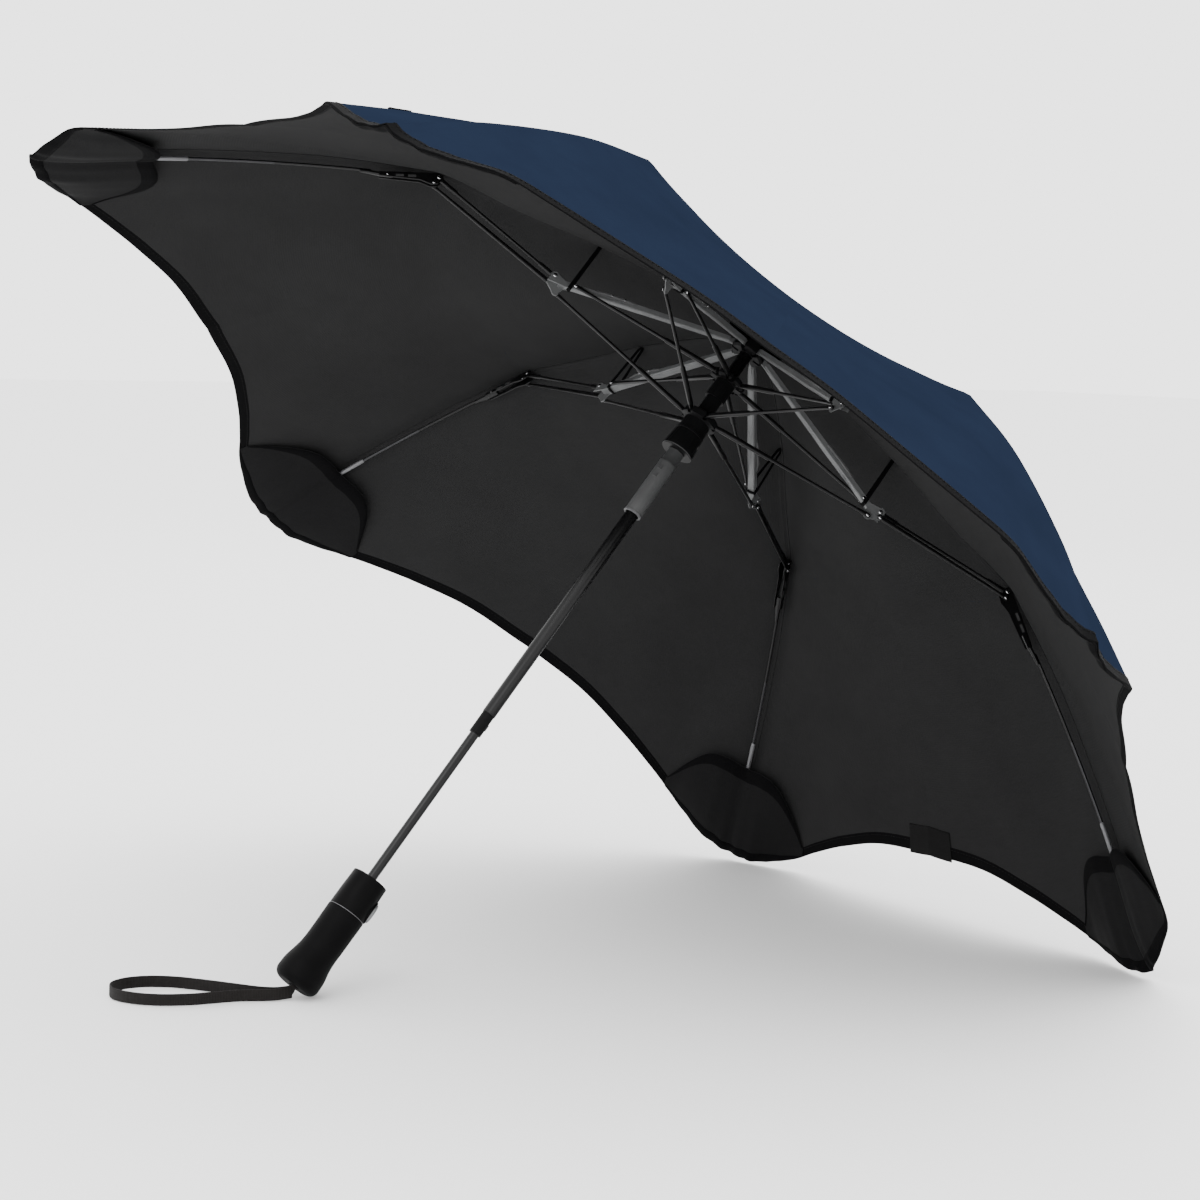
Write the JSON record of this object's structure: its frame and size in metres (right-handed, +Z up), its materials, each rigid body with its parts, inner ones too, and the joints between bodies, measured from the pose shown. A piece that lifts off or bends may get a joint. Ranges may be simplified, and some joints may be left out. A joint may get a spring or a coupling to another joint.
{
  "type": "compact folding umbrella",
  "caption": "Compact automatic umbrella shown open: telescopic shaft, folding metal ribs, fabric canopy with hem pockets, and a short grip with button and wrist strap.",
  "frame": {"origin": "on the floor, under the middle of the open umbrella's footprint without the wrist strap; the handle's rim and two tip pockets touch the floor", "axes": "+Y across the canopy, tip to tip; +Z up; the shaft lies in the XZ plane and rises from the handle at -X towards the crown; the canopy opens towards -X"},
  "size_m": [0.6892, 0.9964, 0.5881],
  "materials": {
    "canopy_cloth": "matt woven cloth, navy outside and charcoal inside",
    "pocket_cloth": "matt woven cloth, black",
    "label_cloth": "woven label, blank",
    "rib_grey": "satin grey",
    "frame_black": "semi-gloss black",
    "tube_black": "semi-gloss black",
    "runner_black": "semi-gloss black",
    "sleeve_grey": "satin grey",
    "grip_rubber": "soft-touch black",
    "handle_plastic": "satin black",
    "button_grey": "satin silver grey",
    "strap_webbing": "ribbed webbing",
    "pin_steel": "plain steel"
  },
  "bodies": {
    "shaft": {"crown": "runner_black", "top_cap": "runner_black", "upper_tube": "tube_black", "reducer_collar": "runner_black", "canopy": "canopy_cloth", "hem_label": "label_cloth", "tie_strap": "pocket_cloth"},
    "handle": {"handle_grip": "grip_rubber", "handle_collar": "handle_plastic", "lower_tube": "tube_black", "strap_pin": "pin_steel", "wrist_strap": "strap_webbing"},
    "open_button": {"open_button": "button_grey"},
    "runner": {"runner": "runner_black", "runner_sleeve": "sleeve_grey"},
    "floating_ring": {"floating_ring": "runner_black"},
    "main_rib_1": {"main_rib_1": "rib_grey"},
    "mid_rib_1": {"mid_rib_1": "frame_black"},
    "control_rod_1": {"control_rod_1": "frame_black"},
    "strut_1": {"strut_1": "frame_black"},
    "stretcher_1": {"stretcher_1": "frame_black"},
    "outer_rib_1": {"outer_rib_1": "frame_black", "tip_pocket_1": "pocket_cloth"},
    "main_rib_2": {"main_rib_2": "rib_grey"},
    "mid_rib_2": {"mid_rib_2": "frame_black"},
    "control_rod_2": {"control_rod_2": "frame_black"},
    "strut_2": {"strut_2": "frame_black"},
    "stretcher_2": {"stretcher_2": "frame_black"},
    "outer_rib_2": {"outer_rib_2": "frame_black", "tip_pocket_2": "pocket_cloth"},
    "main_rib_3": {"main_rib_3": "rib_grey"},
    "mid_rib_3": {"mid_rib_3": "frame_black"},
    "control_rod_3": {"control_rod_3": "frame_black"},
    "strut_3": {"strut_3": "frame_black"},
    "stretcher_3": {"stretcher_3": "frame_black"},
    "outer_rib_3": {"outer_rib_3": "frame_black", "tip_pocket_3": "pocket_cloth"},
    "main_rib_4": {"main_rib_4": "rib_grey"},
    "mid_rib_4": {"mid_rib_4": "frame_black"},
    "control_rod_4": {"control_rod_4": "frame_black"},
    "strut_4": {"strut_4": "frame_black"},
    "stretcher_4": {"stretcher_4": "frame_black"},
    "outer_rib_4": {"outer_rib_4": "frame_black", "tip_pocket_4": "pocket_cloth"},
    "main_rib_5": {"main_rib_5": "rib_grey"},
    "mid_rib_5": {"mid_rib_5": "frame_black"},
    "control_rod_5": {"control_rod_5": "frame_black"},
    "strut_5": {"strut_5": "frame_black"},
    "stretcher_5": {"stretcher_5": "frame_black"},
    "outer_rib_5": {"outer_rib_5": "frame_black", "tip_pocket_5": "pocket_cloth"},
    "main_rib_6": {"main_rib_6": "rib_grey"},
    "mid_rib_6": {"mid_rib_6": "frame_black"},
    "control_rod_6": {"control_rod_6": "frame_black"},
    "strut_6": {"strut_6": "frame_black"},
    "stretcher_6": {"stretcher_6": "frame_black"},
    "outer_rib_6": {"outer_rib_6": "frame_black", "tip_pocket_6": "pocket_cloth"}
  },
  "joints": [
    {"name": "handle_slide", "type": "slide", "parent": "shaft", "child": "handle", "axis": [0.6519, 0, 0.7583], "range_m": [0, 0.17]},
    {"name": "runner_slide", "type": "slide", "parent": "shaft", "child": "runner", "axis": [-0.6519, 0, -0.7583], "range_m": [0, 0.20374], "deforming": ["canopy", "hem_label", "tie_strap", "tip_pocket_1", "tip_pocket_2", "tip_pocket_3", "tip_pocket_4", "tip_pocket_5", "tip_pocket_6"]},
    {"name": "button_press", "type": "slide", "parent": "handle", "child": "open_button", "axis": [-0.6212, 0.5736, 0.534], "range_m": [0, 0.002], "stiffness_N_per_m": 400, "springref_m": -0.0005},
    {"name": "ring_slide", "type": "slide", "parent": "shaft", "child": "floating_ring", "axis": [-0.6519, 0, -0.7583], "range_m": [0, 0.21764]},
    {"name": "main_rib_1_pivot", "type": "hinge", "parent": "shaft", "child": "main_rib_1", "pos_m": [0.13658, 0.005, 0.43867], "axis": [-0.3792, 0.866, 0.3259], "range_deg": [0, 69.51]},
    {"name": "mid_rib_1_pivot", "type": "hinge", "parent": "main_rib_1", "child": "mid_rib_1", "pos_m": [0.19885, 0.074, 0.32777], "axis": [-0.3792, 0.866, 0.3259], "range_deg": [-151.14, 0]},
    {"name": "outer_rib_1_pivot", "type": "hinge", "parent": "mid_rib_1", "child": "outer_rib_1", "pos_m": [0.27729, 0.1295, 0.27155], "axis": [-0.3792, 0.866, 0.3259], "range_deg": [0, 135.35]},
    {"name": "control_rod_1_pivot", "type": "hinge", "parent": "main_rib_1", "child": "control_rod_1", "pos_m": [0.19715, 0.07484, 0.32356], "axis": [-0.3792, 0.866, 0.3259], "range_deg": [-151.88, 0]},
    {"name": "strut_1_pivot", "type": "hinge", "parent": "floating_ring", "child": "strut_1", "pos_m": [0.11834, 0.006, 0.41479], "axis": [-0.3792, 0.866, 0.3259], "range_deg": [-95.01, 0]},
    {"name": "stretcher_1_pivot", "type": "hinge", "parent": "runner", "child": "stretcher_1", "pos_m": [0.09422, 0.006, 0.38673], "axis": [-0.3792, 0.866, 0.3259], "range_deg": [-85.51, 0]},
    {"name": "main_rib_2_pivot", "type": "hinge", "parent": "shaft", "child": "main_rib_2", "pos_m": [0.13001, 0.01, 0.44432], "axis": [-0.7583, 0, 0.6519], "range_deg": [0, 69.51]},
    {"name": "mid_rib_2_pivot", "type": "hinge", "parent": "main_rib_2", "child": "mid_rib_2", "pos_m": [0.10165, 0.148, 0.41133], "axis": [-0.7583, 0, 0.6519], "range_deg": [-151.14, 0]},
    {"name": "outer_rib_2_pivot", "type": "hinge", "parent": "mid_rib_2", "child": "outer_rib_2", "pos_m": [0.1072, 0.259, 0.41778], "axis": [-0.7583, 0, 0.6519], "range_deg": [0, 135.35]},
    {"name": "control_rod_2_pivot", "type": "hinge", "parent": "main_rib_2", "child": "control_rod_2", "pos_m": [0.09885, 0.14968, 0.40806], "axis": [-0.7583, 0, 0.6519], "range_deg": [-151.88, 0]},
    {"name": "strut_2_pivot", "type": "hinge", "parent": "floating_ring", "child": "strut_2", "pos_m": [0.11045, 0.012, 0.42157], "axis": [-0.7583, 0, 0.6519], "range_deg": [-95.01, 0]},
    {"name": "stretcher_2_pivot", "type": "hinge", "parent": "runner", "child": "stretcher_2", "pos_m": [0.08633, 0.012, 0.39351], "axis": [-0.7583, 0, 0.6519], "range_deg": [-85.51, 0]},
    {"name": "main_rib_3_pivot", "type": "hinge", "parent": "shaft", "child": "main_rib_3", "pos_m": [0.12344, 0.005, 0.44996], "axis": [-0.3792, -0.866, 0.3259], "range_deg": [0, 69.51]},
    {"name": "mid_rib_3_pivot", "type": "hinge", "parent": "main_rib_3", "child": "mid_rib_3", "pos_m": [0.00446, 0.074, 0.49488], "axis": [-0.3792, -0.866, 0.3259], "range_deg": [-151.14, 0]},
    {"name": "outer_rib_3_pivot", "type": "hinge", "parent": "mid_rib_3", "child": "outer_rib_3", "pos_m": [-0.06289, 0.1295, 0.564], "axis": [-0.3792, -0.866, 0.3259], "range_deg": [0, 135.35]},
    {"name": "control_rod_3_pivot", "type": "hinge", "parent": "main_rib_3", "child": "control_rod_3", "pos_m": [0.00055, 0.07484, 0.49257], "axis": [-0.3792, -0.866, 0.3259], "range_deg": [-151.88, 0]},
    {"name": "strut_3_pivot", "type": "hinge", "parent": "floating_ring", "child": "strut_3", "pos_m": [0.10257, 0.006, 0.42834], "axis": [-0.3792, -0.866, 0.3259], "range_deg": [-95.01, 0]},
    {"name": "stretcher_3_pivot", "type": "hinge", "parent": "runner", "child": "stretcher_3", "pos_m": [0.07845, 0.006, 0.40028], "axis": [-0.3792, -0.866, 0.3259], "range_deg": [-85.51, 0]},
    {"name": "main_rib_4_pivot", "type": "hinge", "parent": "shaft", "child": "main_rib_4", "pos_m": [0.12344, -0.005, 0.44996], "axis": [0.3792, -0.866, -0.3259], "range_deg": [0, 69.51]},
    {"name": "mid_rib_4_pivot", "type": "hinge", "parent": "main_rib_4", "child": "mid_rib_4", "pos_m": [0.00446, -0.074, 0.49488], "axis": [0.3792, -0.866, -0.3259], "range_deg": [-151.14, 0]},
    {"name": "outer_rib_4_pivot", "type": "hinge", "parent": "mid_rib_4", "child": "outer_rib_4", "pos_m": [-0.06289, -0.1295, 0.564], "axis": [0.3792, -0.866, -0.3259], "range_deg": [0, 135.35]},
    {"name": "control_rod_4_pivot", "type": "hinge", "parent": "main_rib_4", "child": "control_rod_4", "pos_m": [0.00055, -0.07484, 0.49257], "axis": [0.3792, -0.866, -0.3259], "range_deg": [-151.88, 0]},
    {"name": "strut_4_pivot", "type": "hinge", "parent": "floating_ring", "child": "strut_4", "pos_m": [0.10257, -0.006, 0.42834], "axis": [0.3792, -0.866, -0.3259], "range_deg": [-95.01, 0]},
    {"name": "stretcher_4_pivot", "type": "hinge", "parent": "runner", "child": "stretcher_4", "pos_m": [0.07845, -0.006, 0.40028], "axis": [0.3792, -0.866, -0.3259], "range_deg": [-85.51, 0]},
    {"name": "main_rib_5_pivot", "type": "hinge", "parent": "shaft", "child": "main_rib_5", "pos_m": [0.13001, -0.01, 0.44432], "axis": [0.7583, 0, -0.6519], "range_deg": [0, 69.51]},
    {"name": "mid_rib_5_pivot", "type": "hinge", "parent": "main_rib_5", "child": "mid_rib_5", "pos_m": [0.10165, -0.148, 0.41133], "axis": [0.7583, 0, -0.6519], "range_deg": [-151.14, 0]},
    {"name": "outer_rib_5_pivot", "type": "hinge", "parent": "mid_rib_5", "child": "outer_rib_5", "pos_m": [0.1072, -0.259, 0.41778], "axis": [0.7583, 0, -0.6519], "range_deg": [0, 135.35]},
    {"name": "control_rod_5_pivot", "type": "hinge", "parent": "main_rib_5", "child": "control_rod_5", "pos_m": [0.09885, -0.14968, 0.40806], "axis": [0.7583, 0, -0.6519], "range_deg": [-151.88, 0]},
    {"name": "strut_5_pivot", "type": "hinge", "parent": "floating_ring", "child": "strut_5", "pos_m": [0.11045, -0.012, 0.42157], "axis": [0.7583, 0, -0.6519], "range_deg": [-95.01, 0]},
    {"name": "stretcher_5_pivot", "type": "hinge", "parent": "runner", "child": "stretcher_5", "pos_m": [0.08633, -0.012, 0.39351], "axis": [0.7583, 0, -0.6519], "range_deg": [-85.51, 0]},
    {"name": "main_rib_6_pivot", "type": "hinge", "parent": "shaft", "child": "main_rib_6", "pos_m": [0.13658, -0.005, 0.43867], "axis": [0.3792, 0.866, -0.3259], "range_deg": [0, 69.51]},
    {"name": "mid_rib_6_pivot", "type": "hinge", "parent": "main_rib_6", "child": "mid_rib_6", "pos_m": [0.19885, -0.074, 0.32777], "axis": [0.3792, 0.866, -0.3259], "range_deg": [-151.14, 0]},
    {"name": "outer_rib_6_pivot", "type": "hinge", "parent": "mid_rib_6", "child": "outer_rib_6", "pos_m": [0.27729, -0.1295, 0.27155], "axis": [0.3792, 0.866, -0.3259], "range_deg": [0, 135.35]},
    {"name": "control_rod_6_pivot", "type": "hinge", "parent": "main_rib_6", "child": "control_rod_6", "pos_m": [0.19715, -0.07484, 0.32356], "axis": [0.3792, 0.866, -0.3259], "range_deg": [-151.88, 0]},
    {"name": "strut_6_pivot", "type": "hinge", "parent": "floating_ring", "child": "strut_6", "pos_m": [0.11834, -0.006, 0.41479], "axis": [0.3792, 0.866, -0.3259], "range_deg": [-95.01, 0]},
    {"name": "stretcher_6_pivot", "type": "hinge", "parent": "runner", "child": "stretcher_6", "pos_m": [0.09422, -0.006, 0.38673], "axis": [0.3792, 0.866, -0.3259], "range_deg": [-85.51, 0]}
  ],
  "couplings": [
    {"joint": "ring_slide", "follows": "runner_slide", "ratio": 1.0682},
    {"joint": "main_rib_1_pivot", "follows": "runner_slide", "rad_per_m": 5.9541},
    {"joint": "mid_rib_1_pivot", "follows": "runner_slide", "rad_per_m": -12.946},
    {"joint": "outer_rib_1_pivot", "follows": "runner_slide", "rad_per_m": 11.594},
    {"joint": "control_rod_1_pivot", "follows": "runner_slide", "rad_per_m": -13.01},
    {"joint": "strut_1_pivot", "follows": "runner_slide", "rad_per_m": -8.1382},
    {"joint": "stretcher_1_pivot", "follows": "runner_slide", "rad_per_m": -7.3241},
    {"joint": "main_rib_2_pivot", "follows": "runner_slide", "rad_per_m": 5.9541},
    {"joint": "mid_rib_2_pivot", "follows": "runner_slide", "rad_per_m": -12.946},
    {"joint": "outer_rib_2_pivot", "follows": "runner_slide", "rad_per_m": 11.594},
    {"joint": "control_rod_2_pivot", "follows": "runner_slide", "rad_per_m": -13.01},
    {"joint": "strut_2_pivot", "follows": "runner_slide", "rad_per_m": -8.1382},
    {"joint": "stretcher_2_pivot", "follows": "runner_slide", "rad_per_m": -7.3241},
    {"joint": "main_rib_3_pivot", "follows": "runner_slide", "rad_per_m": 5.9541},
    {"joint": "mid_rib_3_pivot", "follows": "runner_slide", "rad_per_m": -12.946},
    {"joint": "outer_rib_3_pivot", "follows": "runner_slide", "rad_per_m": 11.594},
    {"joint": "control_rod_3_pivot", "follows": "runner_slide", "rad_per_m": -13.01},
    {"joint": "strut_3_pivot", "follows": "runner_slide", "rad_per_m": -8.1382},
    {"joint": "stretcher_3_pivot", "follows": "runner_slide", "rad_per_m": -7.3241},
    {"joint": "main_rib_4_pivot", "follows": "runner_slide", "rad_per_m": 5.9541},
    {"joint": "mid_rib_4_pivot", "follows": "runner_slide", "rad_per_m": -12.946},
    {"joint": "outer_rib_4_pivot", "follows": "runner_slide", "rad_per_m": 11.594},
    {"joint": "control_rod_4_pivot", "follows": "runner_slide", "rad_per_m": -13.01},
    {"joint": "strut_4_pivot", "follows": "runner_slide", "rad_per_m": -8.1382},
    {"joint": "stretcher_4_pivot", "follows": "runner_slide", "rad_per_m": -7.3241},
    {"joint": "main_rib_5_pivot", "follows": "runner_slide", "rad_per_m": 5.9541},
    {"joint": "mid_rib_5_pivot", "follows": "runner_slide", "rad_per_m": -12.946},
    {"joint": "outer_rib_5_pivot", "follows": "runner_slide", "rad_per_m": 11.594},
    {"joint": "control_rod_5_pivot", "follows": "runner_slide", "rad_per_m": -13.01},
    {"joint": "strut_5_pivot", "follows": "runner_slide", "rad_per_m": -8.1382},
    {"joint": "stretcher_5_pivot", "follows": "runner_slide", "rad_per_m": -7.3241},
    {"joint": "main_rib_6_pivot", "follows": "runner_slide", "rad_per_m": 5.9541},
    {"joint": "mid_rib_6_pivot", "follows": "runner_slide", "rad_per_m": -12.946},
    {"joint": "outer_rib_6_pivot", "follows": "runner_slide", "rad_per_m": 11.594},
    {"joint": "control_rod_6_pivot", "follows": "runner_slide", "rad_per_m": -13.01},
    {"joint": "strut_6_pivot", "follows": "runner_slide", "rad_per_m": -8.1382},
    {"joint": "stretcher_6_pivot", "follows": "runner_slide", "rad_per_m": -7.3241}
  ]
}
